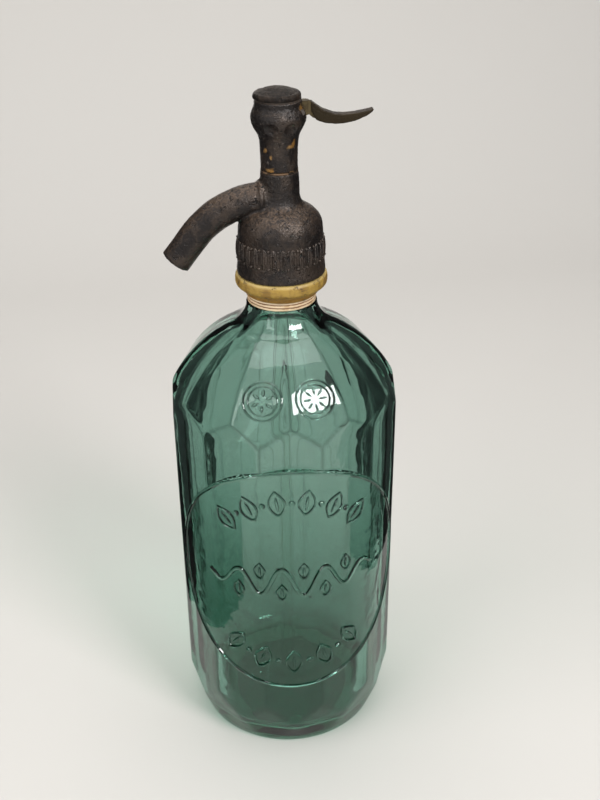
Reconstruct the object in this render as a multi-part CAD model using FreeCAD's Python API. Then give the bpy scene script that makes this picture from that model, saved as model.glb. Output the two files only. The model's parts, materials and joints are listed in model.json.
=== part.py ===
import FreeCAD, Part
import math
import os

# Soda siphon: a faceted glass bottle under a cast head with a spout and a lever valve.
# Millimetres, +Z up. The origin is the centre of the base, on the surface it stands on.
# The lever points along +X and the spout along -X.

os.makedirs("parts", exist_ok=True)

V = FreeCAD.Vector
UP = V(0, 0, 1)
ACROSS = V(0, 1, 0)
ORIGIN = V(0, 0, 0)

# Bottle: twelve panels, with the shoulder's and the heel's twelve turned by half a pitch
panel_count = 12
pitch = 360 / panel_count
first_rib = 12.0
rib_radius = 54.3
wall = 7.0
floor_z = 9.0
heel_top_z = 30.0
heel_middle = (50.6, 16.5)
heel_foot_radius = 46.9
foot_radius = 44.2
foot_round = (46.3, 0.9)
foot_side = (47.2, 3.0)
foot_flare_radius = 57.0
hollow_foot_radius = 31.0
hollow_foot_rise = 2.4
shoulder_z = 183.0
shoulder_arc = 62.9
shoulder_arc_centre = (-6.05, 165.8)
shoulder_turn = math.radians(63)
neck_flare_arc = 12.0
neck_radius = 13.0
neck_root = 6.0
neck_ledge_z = 232.5
bead_radius = 15.5
bead_round = 1.8
bead_z = 249.5
lip_z = 256.0
mouth_radius = 9.0
floor_corner = 9.0
hollow_turn = math.radians(60)
clear_reach = 80.0

# Relief on the glass: a round smooth medallion and two round emblems on the shoulder
medallion_azimuth = -93.0
medallion_radius = 63.8
medallion_z = 109.5
medallion_skin_radius = 54.7
medallion_points = 32
emblem_azimuths = (-108.0, -78.0)
emblem_z = 203.0
emblem_radius = 9.0
emblem_line = 0.8
emblem_inner_radius = 7.0
emblem_proud = 0.5
emblem_root = 3.0

# Dip tube and its washers, between the bottle's lip and the head
tube_radius = 3.4
tube_bore = 2.1
tube_foot_z = 13.0
tube_flange_radius = 11.5
flange_thick = 2.0
gasket_radius = 15.3
gasket_thick = 2.0
gasket_gap = 0.6
washer_thick = 1.6

# Split ring and collar
ring_bore = 13.1
ring_radius = 15.7
ring_flange_radius = 16.6
ring_flange_z = 246.0
ring_top_z = 249.4
ring_groove_depth = 0.35
ring_groove_height = 0.4
ring_groove_heights = (233.9, 235.4)
ring_gap = 0.3
collar_bore = 15.8
collar_foot_z = 236.8
collar_foot_radius = 16.6
collar_flange_radius = 20.9
collar_flange_z = 241.0
collar_rim_z = 245.6
collar_rim_radius = 20.2
collar_top_z = 246.4
thread_radius = 18.0
thread_top_z = 252.0
fit_gap = 0.05

# Head casting: skirt, dome, lower stem and spout
skirt_z = 246.5
skirt_foot_radius = 20.0
skirt_radius = 19.0
skirt_taper_z = 262.0
cavity_radius = 15.9
thread_bore_top_z = 252.6
dome_z = 266.5
dome_side = (17.4, 272.4)
dome_top = (13.2, 276.1)
root_start = (11.0, 277.3)
root_middle = (9.4, 278.9)
stem_foot_radius = 8.8
stem_foot_z = 281.5
stem_radius = 8.3
stem_top_z = 292.8
spout_z = 280.6
spout_start = 1.0
spout_run = 5.5
spout_bend = 41.2
spout_turn = math.radians(52)
spout_straight = 14.6
spout_root_radius = 7.3
spout_end_radius = 6.8
spout_bore = 4.6

# Valve: seat, packing and rod
inlet_radius = 2.8
seat_z = 266.0
seat_radius = 5.1
seat_thick = 2.5
seat_bevel = 0.6
chamber_radius = 5.2
packing_z = 284.5
packing_radius = 5.9
packing_bore_radius = 6.0
packing_thick = 2.8
gland_thick = 1.7
rod_radius = 1.9
valve_gap = 0.1
valve_washer_radius = 3.7
valve_washer_thick = 1.5
cup_radius = 4.3
cup_height = 4.0
cup_foot = 0.4
cup_taper = 1.0
screw_radius = 0.95
screw_length = 3.4
screw_head_radius = 1.9
screw_head_high = 1.1
screw_slot = 0.5
spring_seat_z = 295.6
spring_seat_thick = 1.4
spring_seat_radius = 4.25
guide_radius = 2.8
rod_top_z = 322.5

# Spring and the bush above it
bush_z = 309.0
bush_thick = 2.4
bush_radius = 6.4
bush_notch_width = 1.2
bush_notch_depth = 0.8
spring_wire = 0.55
spring_radius = 3.7
spring_turns = 6
spring_clear = 0.05

# Upper housing and screw cap
copper_thick = 0.6
copper_inset = 0.1
housing_bore = 4.6
housing_chamber = 6.45
housing_top_z = 323.2
housing_foot_radius = 8.0
housing_waist = (8.1, 300.0)
housing_neck_radius = 10.2
housing_neck_z = 321.4
cap_thread_radius = 7.4
cap_thread_z = 320.9
cap_washer_thick = 0.5
cap_washer_inset = 0.3
cap_radius = 10.1
cap_hollow_radius = 4.2
cap_hollow_z = 326.2
cap_top_z = 328.6

# Lever: a hinge across the housing's slot, with its inner end in the rod's window
pivot = V(9.2, 0, 318.5)
pin_radius = 1.3
pin_half_length = 6.3
boss_radius = 2.7
nose_radius = 1.5
arm_half_height = 0.7
arm_half_width = 1.0
bar_half_width = 2.0
slot_half_width = 2.3
slot_z = 314.4
slot_start = 4.0
window_half_width = 1.25
window_half_height = 1.65
thumb_half_width = 4.2
thumb_root_width = 3.4
thumb_tip_width = 2.6
thumb_reach = (11.0, 22.0, 42.0)
tang_half_width = 1.5
panel_margin = 1.2
panel_plane = 2.6


def polar(radius, azimuth, z=0.0):
    angle = math.radians(azimuth)
    return V(radius * math.cos(angle), radius * math.sin(angle), z)


def on_arc(centre, radius, angle):
    return (centre[0] + radius * math.cos(angle), centre[1] + radius * math.sin(angle))


def cylinder(radius, low, high, centre=(0.0, 0.0)):
    return Part.makeCylinder(radius, high - low, V(centre[0], centre[1], low), UP)


def tube(bore, radius, low, high):
    return cylinder(radius, low, high).cut(cylinder(bore, low - 1, high + 1))


def profile_wire(steps):
    # Each step is an (x, z) corner, or a pair of such points: an arc's middle and its end
    edges = []
    last = V(steps[0][0], 0, steps[0][1])
    for step in list(steps[1:]) + [steps[0]]:
        if isinstance(step[0], tuple):
            middle = V(step[0][0], 0, step[0][1])
            end = V(step[1][0], 0, step[1][1])
            edges.append(Part.Arc(last, middle, end).toShape())
        else:
            end = V(step[0], 0, step[1])
            if end.distanceToPoint(last) > 1e-6:
                edges.append(Part.LineSegment(last, end).toShape())
        last = end
    return Part.Wire(edges)


def turned(steps):
    return Part.Face(profile_wire(steps)).revolve(ORIGIN, UP, 360)


def plate(steps, half_width):
    face = Part.Face(profile_wire(steps))
    face.translate(V(0, half_width, 0))
    return face.extrude(V(0, -2 * half_width, 0))


def panelled(half_profile, reach):
    # A twelve-sided solid from the outline of two opposite panels, both seen edge on.
    # Its panels face first_rib and every pitch after it.
    outline = plate(half_profile + mirrored_back(half_profile), reach)
    outline.rotate(ORIGIN, UP, first_rib)
    solid = outline.copy()
    for turn in range(1, panel_count // 2):
        other = outline.copy()
        other.rotate(ORIGIN, UP, turn * pitch)
        solid = solid.common(other)
    return solid


def mirrored_back(half_profile):
    # The same outline on the other side of the axis, walked back to the start
    ends = [step[1] if isinstance(step[0], tuple) else step for step in half_profile]
    steps = [(-ends[-1][0], ends[-1][1])]
    for index in range(len(half_profile) - 1, 0, -1):
        step = half_profile[index]
        back = (-ends[index - 1][0], ends[index - 1][1])
        if isinstance(step[0], tuple):
            steps.append(((-step[0][0], step[0][1]), back))
        else:
            steps.append(back)
    return steps


def save(shape, name):
    clean = shape.removeSplitter()
    solids = clean.Solids
    if not clean.isValid() or not solids:
        raise ValueError("bad shape for " + name)
    result = solids[0] if len(solids) == 1 else Part.makeCompound(solids)
    result.exportStep("parts/" + name + ".step")
    print(name, len(solids), round(result.Volume, 1))


# Stack of heights that follow from the ones above
flange_z = lip_z + gasket_thick
tube_top_z = flange_z + flange_thick
ceiling_z = tube_top_z + washer_thick
seat_top_z = seat_z + seat_thick
valve_z = seat_top_z + valve_gap
spigot_z = packing_z + packing_thick + gland_thick
housing_z = stem_top_z + copper_thick
spring_foot_z = spring_seat_z + spring_seat_thick + spring_clear
cap_z = housing_top_z + cap_washer_thick


def shoulder_point(angle, offset=0.0):
    return on_arc(shoulder_arc_centre, shoulder_arc - offset, angle)


def glass_bottle():
    panel_top = shoulder_point(shoulder_turn)
    start_angle = math.asin((shoulder_z - shoulder_arc_centre[1]) / shoulder_arc)
    shoulder_start = shoulder_point(start_angle)
    shoulder_middle = shoulder_point((start_angle + shoulder_turn) / 2)
    flare_end = panel_top[0] - neck_flare_arc * (1 - math.cos(shoulder_turn))
    flare_top_z = panel_top[1] + neck_flare_arc * math.sin(shoulder_turn)
    flare_centre = (flare_end + neck_flare_arc, flare_top_z)
    flare_middle = on_arc(flare_centre, neck_flare_arc, math.pi + shoulder_turn / 2)
    lean = math.tan(start_angle)
    widest = shoulder_start[0] + lean * (shoulder_z - heel_top_z) / 2
    waist_z = (shoulder_z + heel_top_z) / 2
    dome = panelled(
        [
            (heel_foot_radius, 0.0),
            (heel_middle, (rib_radius, heel_top_z)),
            (widest, waist_z),
            shoulder_start,
            (shoulder_middle, panel_top),
            (flare_middle, (flare_end, flare_top_z)),
            (flare_end, neck_ledge_z),
        ],
        clear_reach,
    )
    ribs = [polar(rib_radius, first_rib + step * pitch) for step in range(panel_count + 1)]
    body = Part.Face(Part.makePolygon(ribs)).extrude(V(0, 0, neck_ledge_z))
    glass = body.common(dome).common(foot_envelope())
    glass = glass.fuse(medallion())
    for azimuth in emblem_azimuths:
        glass = glass.fuse(emblem(azimuth))
    bend = bead_round * (1 - math.cos(math.radians(45)))
    neck = turned(
        [
            (0, neck_ledge_z - neck_root),
            (neck_radius, neck_ledge_z - neck_root),
            (neck_radius, bead_z),
            (bead_radius, bead_z),
            (bead_radius, lip_z - bead_round),
            ((bead_radius - bend, lip_z - bend), (bead_radius - bead_round, lip_z)),
            (0, lip_z),
        ]
    )
    glass = glass.fuse(neck)
    return glass.cut(bottle_hollow()).cut(foot_hollow())


def foot_envelope():
    # Round at the foot, and wider than the panels' corners before the heel's border
    return turned(
        [
            (0, 0),
            (foot_radius, 0),
            (foot_round, foot_side),
            (foot_flare_radius, heel_top_z),
            (clear_reach, heel_top_z),
            (clear_reach, lip_z),
            (0, lip_z),
        ]
    )


def bottle_hollow():
    inner_arc = shoulder_arc - wall
    side = rib_radius - wall
    start = math.acos((side - shoulder_arc_centre[0]) / inner_arc)
    finish = hollow_turn
    side_top = shoulder_point(start, wall)
    middle = shoulder_point((start + finish) / 2, wall)
    end = shoulder_point(finish, wall)
    sweep = (end[0] - mouth_radius) / (1 - math.cos(finish))
    throat_z = end[1] + sweep * math.sin(finish)
    half = finish / 2
    throat_middle = (
        mouth_radius + sweep * (1 - math.cos(half)),
        throat_z - sweep * math.sin(half),
    )
    bend = floor_corner * (1 - math.cos(math.radians(45)))
    return turned(
        [
            (0, floor_z),
            (side - floor_corner, floor_z),
            ((side - bend, floor_z + bend), (side, floor_z + floor_corner)),
            side_top,
            (middle, end),
            (throat_middle, (mouth_radius, throat_z)),
            (mouth_radius, lip_z + 1),
            (0, lip_z + 1),
        ]
    )


def foot_hollow():
    ball = (hollow_foot_radius**2 + hollow_foot_rise**2) / (2 * hollow_foot_rise)
    return Part.makeSphere(ball, V(0, 0, hollow_foot_rise - ball))


def medallion():
    # A round patch of plain cylinder, as drawn on the unrolled glass
    points = []
    for step in range(medallion_points):
        angle = 2 * math.pi * step / medallion_points
        across = medallion_radius * math.cos(angle) / medallion_skin_radius
        points.append(
            V(
                medallion_skin_radius * math.sin(across),
                0,
                medallion_z + medallion_radius * math.sin(angle),
            )
        )
    curve = Part.BSplineCurve()
    curve.interpolate(Points=points, PeriodicFlag=True)
    stamp = Part.Face(Part.Wire(curve.toShape())).extrude(V(0, -clear_reach, 0))
    skin = tube(rib_radius - wall / 2, medallion_skin_radius, floor_z, neck_ledge_z)
    patch = skin.common(stamp)
    patch.rotate(ORIGIN, UP, medallion_azimuth + 90)
    return patch


def emblem(azimuth):
    # Two thin raised rings, square to the shoulder's panel
    angle = math.asin((emblem_z - shoulder_arc_centre[1]) / shoulder_arc)
    radius = shoulder_point(angle)[0]
    out = V(math.cos(angle), 0, math.sin(angle))
    foot = V(radius, 0, emblem_z) - out * emblem_root
    high = emblem_root + emblem_proud
    rings = None
    for outer in (emblem_radius, emblem_inner_radius):
        ring = Part.makeCylinder(outer, high, foot, out)
        ring = ring.cut(Part.makeCylinder(outer - emblem_line, 3 * high, foot - out * high, out))
        rings = ring if rings is None else rings.fuse(ring)
    rings.rotate(ORIGIN, UP, azimuth)
    return rings


def dip_tube():
    body = cylinder(tube_radius, tube_foot_z, tube_top_z)
    body = body.fuse(cylinder(tube_flange_radius, flange_z, tube_top_z))
    return body.cut(cylinder(tube_bore, tube_foot_z - 1, tube_top_z + 1))


def neck_gasket():
    return tube(tube_radius + gasket_gap, gasket_radius, lip_z, flange_z)


def tube_washer():
    return tube(inlet_radius, tube_flange_radius, tube_top_z, ceiling_z)


def split_ring(side):
    # One half of the ring round the neck, cut at the gap: side is -1 in front, 1 behind
    ring = tube(ring_bore, ring_radius, neck_ledge_z, ring_top_z)
    ring = ring.fuse(tube(ring_bore, ring_flange_radius, ring_flange_z, ring_top_z))
    for height in ring_groove_heights:
        groove = tube(
            ring_radius - ring_groove_depth,
            ring_radius + 1,
            height,
            height + ring_groove_height,
        )
        ring = ring.cut(groove)
    reach = 2 * ring_flange_radius
    half = Part.makeBox(2 * reach, reach, reach, V(-reach, ring_gap / 2, neck_ledge_z))
    if side < 0:
        half = half.mirror(ORIGIN, ACROSS)
    return ring.common(half)


def threaded_collar():
    return turned(
        [
            (collar_bore, collar_foot_z),
            (collar_foot_radius, collar_foot_z),
            (collar_flange_radius, collar_flange_z),
            (collar_flange_radius, collar_rim_z),
            (collar_rim_radius, collar_rim_z),
            (collar_rim_radius, collar_top_z),
            (thread_radius, collar_top_z),
            (thread_radius, thread_top_z),
            (ring_flange_radius + fit_gap, thread_top_z),
            (ring_flange_radius + fit_gap, ring_flange_z),
            (collar_bore, ring_flange_z),
        ]
    )


def spout_path():
    bend_end = V(
        -spout_run - spout_bend * math.sin(spout_turn),
        0,
        spout_z - spout_bend * (1 - math.cos(spout_turn)),
    )
    half = spout_turn / 2
    bend_middle = V(
        -spout_run - spout_bend * math.sin(half),
        0,
        spout_z - spout_bend * (1 - math.cos(half)),
    )
    way = V(-math.cos(spout_turn), 0, -math.sin(spout_turn))
    bend_start = V(-spout_run, 0, spout_z)
    end = bend_end + way * spout_straight
    edges = [
        Part.LineSegment(V(-spout_start, 0, spout_z), bend_start).toShape(),
        Part.Arc(bend_start, bend_middle, bend_end).toShape(),
        Part.LineSegment(bend_end, end).toShape(),
    ]
    return Part.Wire(edges), end, way


def spout_solid(start_radius, end_radius):
    path, end, way = spout_path()
    root = V(-spout_start, 0, spout_z)
    first = Part.Wire(Part.makeCircle(start_radius, root, V(-1, 0, 0)))
    last = Part.Wire(Part.makeCircle(end_radius, end, way))
    return path.makePipeShell([first, last], True, True)


def head_casting():
    middle_radius = (skirt_foot_radius + skirt_radius) / 2
    body = turned(
        [
            (0, skirt_z),
            (skirt_foot_radius, skirt_z),
            (middle_radius, (skirt_z + skirt_taper_z) / 2),
            (skirt_radius, skirt_taper_z),
            (skirt_radius, dome_z),
            (dome_side, dome_top),
            root_start,
            (root_middle, (stem_foot_radius, stem_foot_z)),
            (stem_radius, stem_top_z),
            (0, stem_top_z),
        ]
    )
    body = body.fuse(spout_solid(spout_root_radius, spout_end_radius))
    body = body.cut(cylinder(thread_radius + fit_gap, skirt_z - 1, thread_bore_top_z))
    body = body.cut(cylinder(cavity_radius, skirt_z, ceiling_z))
    body = body.cut(cylinder(inlet_radius, ceiling_z - 1, seat_z + 1))
    body = body.cut(cylinder(chamber_radius, seat_z, packing_z + 1))
    body = body.cut(cylinder(packing_bore_radius, packing_z, stem_top_z + 1))
    path, end, way = spout_path()
    water_way = spout_solid(spout_bore, spout_bore)
    mouth = Part.makeCylinder(spout_bore, spout_straight + 2, end + way * 2, way * -1)
    return body.cut(water_way.fuse(mouth))


def valve_seat():
    seat = tube(inlet_radius, seat_radius, seat_z, seat_top_z)
    start = V(0, 0, seat_top_z - seat_bevel)
    bevel = Part.makeCone(inlet_radius, inlet_radius + seat_bevel, seat_bevel, start)
    return seat.cut(bevel)


def valve_washer():
    hole = screw_radius + fit_gap
    return tube(hole, valve_washer_radius, valve_z, valve_z + valve_washer_thick)


def washer_screw():
    # A small slotted screw up through the valve washer into the rod
    head_z = valve_z - screw_head_high
    head = cylinder(screw_head_radius, head_z, valve_z)
    slot_length = 4 * screw_head_radius
    corner = V(-slot_length / 2, -screw_slot / 2, head_z)
    slot = Part.makeBox(slot_length, screw_slot, screw_slot, corner)
    return head.cut(slot).fuse(cylinder(screw_radius, valve_z, valve_z + screw_length))


def valve_rod():
    cup_top = valve_z + cup_height
    cup_side_z = cup_top - cup_taper
    spring_seat_top_z = spring_seat_z + spring_seat_thick
    rod = cylinder(cup_radius, valve_z + cup_foot, cup_side_z)
    rod = rod.fuse(Part.makeCone(cup_radius, rod_radius, cup_taper, V(0, 0, cup_side_z)))
    rod = rod.fuse(cylinder(rod_radius, cup_side_z, spring_seat_top_z))
    rod = rod.fuse(cylinder(spring_seat_radius, spring_seat_z, spring_seat_top_z))
    rod = rod.fuse(cylinder(guide_radius, spring_seat_z, rod_top_z))
    washer_room = cylinder(valve_washer_radius, valve_z, valve_z + valve_washer_thick)
    screw_room = cylinder(screw_radius, valve_z, valve_z + screw_length)
    window = Part.makeBox(
        4 * guide_radius,
        2 * window_half_width,
        2 * window_half_height,
        V(-2 * guide_radius, -window_half_width, pivot.z - window_half_height),
    )
    return rod.cut(washer_room).cut(screw_room).cut(window)


def packing_washer():
    return tube(rod_radius + fit_gap, packing_radius, packing_z, packing_z + packing_thick)


def gland_ring():
    low = packing_z + packing_thick
    return tube(rod_radius + fit_gap, packing_radius, low, low + gland_thick)


def valve_spring():
    room = bush_z - spring_clear - spring_foot_z - 2 * spring_wire
    foot = spring_foot_z + spring_wire
    helix = Part.makeHelix(room / spring_turns, room, spring_radius)
    helix.translate(V(0, 0, foot))
    start = V(spring_radius, 0, foot)
    way = V(0, 2 * math.pi * spring_radius, room / spring_turns)
    section = Part.Wire(Part.makeCircle(spring_wire, start, way))
    return Part.Wire(helix.Edges).makePipeShell([section], True, True)


def joint_washer():
    return tube(packing_bore_radius + fit_gap, stem_radius - copper_inset, stem_top_z, housing_z)


def housing_body():
    return turned(
        [
            (0, spigot_z),
            (packing_radius + fit_gap, spigot_z),
            (packing_radius + fit_gap, housing_z),
            (housing_foot_radius, housing_z),
            housing_waist,
            ((8.35, 305.0), (9.3, 309.2)),
            ((11.5, 312.4), (11.9, 315.4)),
            ((11.5, 317.9), (10.5, 320.2)),
            (housing_neck_radius, housing_neck_z),
            (housing_neck_radius, housing_top_z),
            (0, housing_top_z),
        ]
    )


def valve_housing():
    body = housing_body()
    body = body.cut(cylinder(housing_bore, spigot_z - 1, bush_z + 1))
    body = body.cut(cylinder(housing_chamber, bush_z, cap_thread_z + 0.2))
    body = body.cut(cylinder(cap_thread_radius + fit_gap, cap_thread_z - 0.1, housing_top_z + 1))
    slot = Part.makeBox(
        housing_neck_radius,
        2 * slot_half_width,
        housing_top_z + 1 - slot_z,
        V(slot_start, -slot_half_width, slot_z),
    )
    pin_hole = Part.makeCylinder(
        pin_radius, 4 * pin_half_length, pivot - ACROSS * 2 * pin_half_length, ACROSS
    )
    return body.cut(slot).cut(pin_hole)


def spring_bush():
    # Screwed into the housing, with two spanner notches in its top
    bush = tube(guide_radius + fit_gap, bush_radius, bush_z, bush_z + bush_thick)
    length = 4 * bush_radius
    corner = V(-length / 2, -bush_notch_width / 2, bush_z + bush_thick - bush_notch_depth)
    return bush.cut(Part.makeBox(length, bush_notch_width, bush_notch_depth, corner))


def cap_washer():
    return tube(cap_thread_radius + fit_gap, cap_radius - cap_washer_inset, housing_top_z, cap_z)


def screw_cap():
    body = turned(
        [
            (0, cap_thread_z),
            (cap_thread_radius, cap_thread_z),
            (cap_thread_radius, cap_z),
            (cap_radius, cap_z),
            (cap_radius, cap_z + cap_washer_thick),
            ((9.85, 324.9), (9.5, 325.5)),
            ((5.8, 327.8), (1.5, cap_top_z)),
            (0, cap_top_z),
        ]
    )
    return body.cut(cylinder(cap_hollow_radius, cap_thread_z - 1, cap_hollow_z))


def pivot_pin():
    start = pivot - ACROSS * pin_half_length
    return Part.makeCylinder(pin_radius, 2 * pin_half_length, start, ACROSS)


def lever_bar():
    shank = plate(
        [
            (8.6, 316.1),
            (12.9, 316.4),
            (14.5, 315.0),
            (20.0, 313.3),
            (28.0, 312.9),
            (28.0, 315.2),
            (20.0, 317.1),
            (14.5, 321.3),
            (12.6, 322.3),
            (9.2, 322.3),
            (8.2, 320.8),
        ],
        tang_half_width,
    )
    cheeks = plate(
        [(8.6, 316.1), (12.1, 316.3), (12.1, 322.3), (9.2, 322.3), (8.2, 320.8)],
        bar_half_width,
    )
    boss_start = pivot - ACROSS * bar_half_width
    boss = Part.makeCylinder(boss_radius, 2 * bar_half_width, boss_start, ACROSS)
    nose_centre = V(0, -arm_half_width, pivot.z)
    nose = Part.makeCylinder(nose_radius, 2 * arm_half_width, nose_centre, ACROSS)
    arm = Part.makeBox(
        pivot.x,
        2 * arm_half_width,
        2 * arm_half_height,
        V(0, -arm_half_width, pivot.z - arm_half_height),
    )
    bar = shank.fuse(cheeks).fuse(boss).fuse(nose).fuse(arm)
    hole = Part.makeCylinder(
        pin_radius + fit_gap, 6 * bar_half_width, pivot - ACROSS * 3 * bar_half_width, ACROSS
    )
    return bar.cut(hole)


def thumb_outline():
    return [
        (11.9, 318.4),
        ((12.1, 322.5), (13.9, 324.0)),
        (15.6, 323.0),
        ((19.6, 319.9), (24.8, 318.1)),
        ((32.2, 318.1), (40.0, 319.2)),
        ((41.4, 317.7), (39.6, 315.0)),
        ((31.2, 311.1), (24.1, 310.2)),
        ((19.0, 310.7), (14.2, 312.6)),
    ]


def thumb_leaf():
    # The piece seen from above: narrow at its root and narrower still at its tip
    root_x, broad_x, tip_x = thumb_reach
    low = slot_z - thumb_half_width * 2
    corners = [
        V(root_x, -thumb_root_width, low),
        V(tip_x, -thumb_tip_width, low),
        V(tip_x, thumb_tip_width, low),
        V(root_x, thumb_root_width, low),
    ]
    front = Part.Arc(corners[0], V(broad_x, -thumb_half_width, low), corners[1])
    back = Part.Arc(corners[2], V(broad_x, thumb_half_width, low), corners[3])
    tip = Part.LineSegment(corners[1], corners[2])
    root = Part.LineSegment(corners[3], corners[0])
    edges = [front.toShape(), tip.toShape(), back.toShape(), root.toShape()]
    return Part.Face(Part.Wire(edges)).extrude(V(0, 0, cap_top_z - low))


def thumb_piece():
    solid = plate(thumb_outline(), thumb_half_width).common(thumb_leaf())
    inner = Part.Face(profile_wire(thumb_outline())).makeOffset2D(-panel_margin)
    for side in (-1, 1):
        panel = inner.copy()
        panel.translate(V(0, side * panel_plane, 0))
        solid = solid.cut(panel.extrude(V(0, side * thumb_half_width, 0)))
    return solid.cut(lever_bar())


save(glass_bottle(), "glass_bottle")
save(dip_tube(), "dip_tube")
save(neck_gasket(), "neck_gasket")
save(tube_washer(), "tube_washer")
save(split_ring(-1), "split_ring_front")
save(split_ring(1), "split_ring_back")
save(threaded_collar(), "threaded_collar")
save(head_casting(), "head_casting")
save(valve_seat(), "valve_seat")
save(valve_washer(), "valve_washer")
save(washer_screw(), "washer_screw")
save(valve_rod(), "valve_rod")
save(packing_washer(), "packing_washer")
save(gland_ring(), "gland_ring")
save(valve_spring(), "valve_spring")
save(joint_washer(), "joint_washer")
save(valve_housing(), "valve_housing")
save(spring_bush(), "spring_bush")
save(cap_washer(), "cap_washer")
save(screw_cap(), "screw_cap")
save(pivot_pin(), "pivot_pin")
save(lever_bar(), "lever_bar")
save(thumb_piece(), "thumb_piece")
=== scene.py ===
import json
from math import asin, atan, atan2, cos, degrees, hypot, pi, radians, sin, sqrt
import bpy
from mathutils import Matrix, Vector


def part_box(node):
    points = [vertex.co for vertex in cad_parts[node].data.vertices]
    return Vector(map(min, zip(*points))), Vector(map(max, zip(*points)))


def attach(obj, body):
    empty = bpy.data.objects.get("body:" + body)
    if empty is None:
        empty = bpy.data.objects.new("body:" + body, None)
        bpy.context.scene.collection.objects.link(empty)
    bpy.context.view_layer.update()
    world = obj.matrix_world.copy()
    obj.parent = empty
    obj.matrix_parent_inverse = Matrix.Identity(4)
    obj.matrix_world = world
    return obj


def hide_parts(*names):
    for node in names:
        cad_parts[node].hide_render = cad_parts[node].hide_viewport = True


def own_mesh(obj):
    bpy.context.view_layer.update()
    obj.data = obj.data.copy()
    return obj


# Soda siphon: faceted green glass bottle, aged cast head, yellow collar, side lever.
# Sizes in the dictionaries are millimetres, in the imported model's frame: lever +X, spout -X.

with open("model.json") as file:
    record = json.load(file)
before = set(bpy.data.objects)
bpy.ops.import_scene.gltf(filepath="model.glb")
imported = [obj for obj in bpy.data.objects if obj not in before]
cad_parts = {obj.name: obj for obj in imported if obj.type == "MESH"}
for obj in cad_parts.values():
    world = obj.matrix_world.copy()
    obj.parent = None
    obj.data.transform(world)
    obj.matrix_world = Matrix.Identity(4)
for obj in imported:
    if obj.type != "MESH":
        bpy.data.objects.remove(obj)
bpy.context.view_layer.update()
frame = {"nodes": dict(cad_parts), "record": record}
nodes = frame["nodes"]
mm = 0.001
smallestRadius = 0.001  # a ring is never smaller, so that it can be scaled up again
mergeGap = 0.002
print("frame loaded:", len(nodes), "nodes")


# small helpers for working on one piece at a time

def setMode(mode):
    bpy.ops.object.mode_set(mode=mode)


def clearSelection():
    if bpy.context.object and bpy.context.object.mode != "OBJECT":
        setMode("OBJECT")
    bpy.ops.object.select_all(action="DESELECT")


def pick(piece):
    clearSelection()
    piece.select_set(True)
    bpy.context.view_layer.objects.active = piece


def placeInMesh(piece):
    pick(piece)
    bpy.ops.object.transform_apply(location=True, rotation=True, scale=True)


def addShape(operator, name, scale=(1, 1, 1), **values):
    # operator: the one that adds the shape; scale is along its own axes
    clearSelection()
    operator(**values)
    piece = bpy.context.object
    piece.name = name
    piece.scale = scale
    placeInMesh(piece)
    return piece


def inMetres(values):
    return [value * mm for value in values]


def roundAxis(azimuth, radius, height):
    # a place in metres, from degrees and millimetres
    turn = radians(azimuth)
    return (radius * mm * cos(turn), radius * mm * sin(turn), height * mm)


def editAll():
    setMode("EDIT")
    bpy.ops.mesh.select_all(action="SELECT")


def extrudeEdges(x, z):
    bpy.ops.mesh.extrude_edges_move(TRANSFORM_OT_translate={"value": (x * mm, 0, z * mm)})


def turnOutwards():
    bpy.ops.mesh.select_all(action="SELECT")
    bpy.ops.mesh.normals_make_consistent(inside=False)
    setMode("OBJECT")


def thicken(depth):
    # gives the flat piece at hand its depth, along Y
    editAll()
    bpy.ops.mesh.extrude_region_move(TRANSFORM_OT_translate={"value": (0, depth * mm, 0)})
    turnOutwards()


def stackRings(name, rings, segments, firstAngle=0.0, closed=False):
    # a turned shape: one circle, then extruded and scaled ring by ring; rings are (radius, z)
    radius, height = rings[0]
    piece = addShape(
        bpy.ops.mesh.primitive_circle_add, name, vertices=segments, radius=max(radius, smallestRadius) * mm,
        fill_type="NOTHING" if closed else "NGON", location=(0, 0, height * mm), rotation=(0, 0, firstAngle),
    )
    editAll()
    for nextRadius, nextHeight in rings[1:]:
        extrudeEdges(0, nextHeight - height)
        grow = max(nextRadius, smallestRadius) / max(radius, smallestRadius)
        bpy.ops.transform.resize(value=(grow, grow, 1), center_override=(0, 0, 0))
        radius, height = nextRadius, nextHeight
    if not closed:
        bpy.ops.mesh.edge_face_add()
    bpy.ops.mesh.select_all(action="SELECT")
    bpy.ops.mesh.remove_doubles(threshold=mergeGap * mm)
    turnOutwards()
    return piece


def arcRings(centre, radius, start, finish, steps):
    # points on an arc in the (radius, z) plane, angles in degrees
    points = []
    for step in range(steps + 1):
        angle = radians(start + (finish - start) * step / steps)
        points.append((centre[0] + radius * cos(angle), centre[1] + radius * sin(angle)))
    return points


def applyModifier(piece, kind, **values):
    modifier = piece.modifiers.new(kind.lower(), kind)
    for key, value in values.items():
        setattr(modifier, key, value)
    pick(piece)
    bpy.ops.object.modifier_apply(modifier=modifier.name)


def combine(piece, other, operation):
    applyModifier(piece, "BOOLEAN", object=other, operation=operation, solver="EXACT")
    bpy.data.objects.remove(other)


def smoothLook(piece, angle):
    pick(piece)
    bpy.ops.object.shade_smooth_by_angle(angle=radians(angle))


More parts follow.
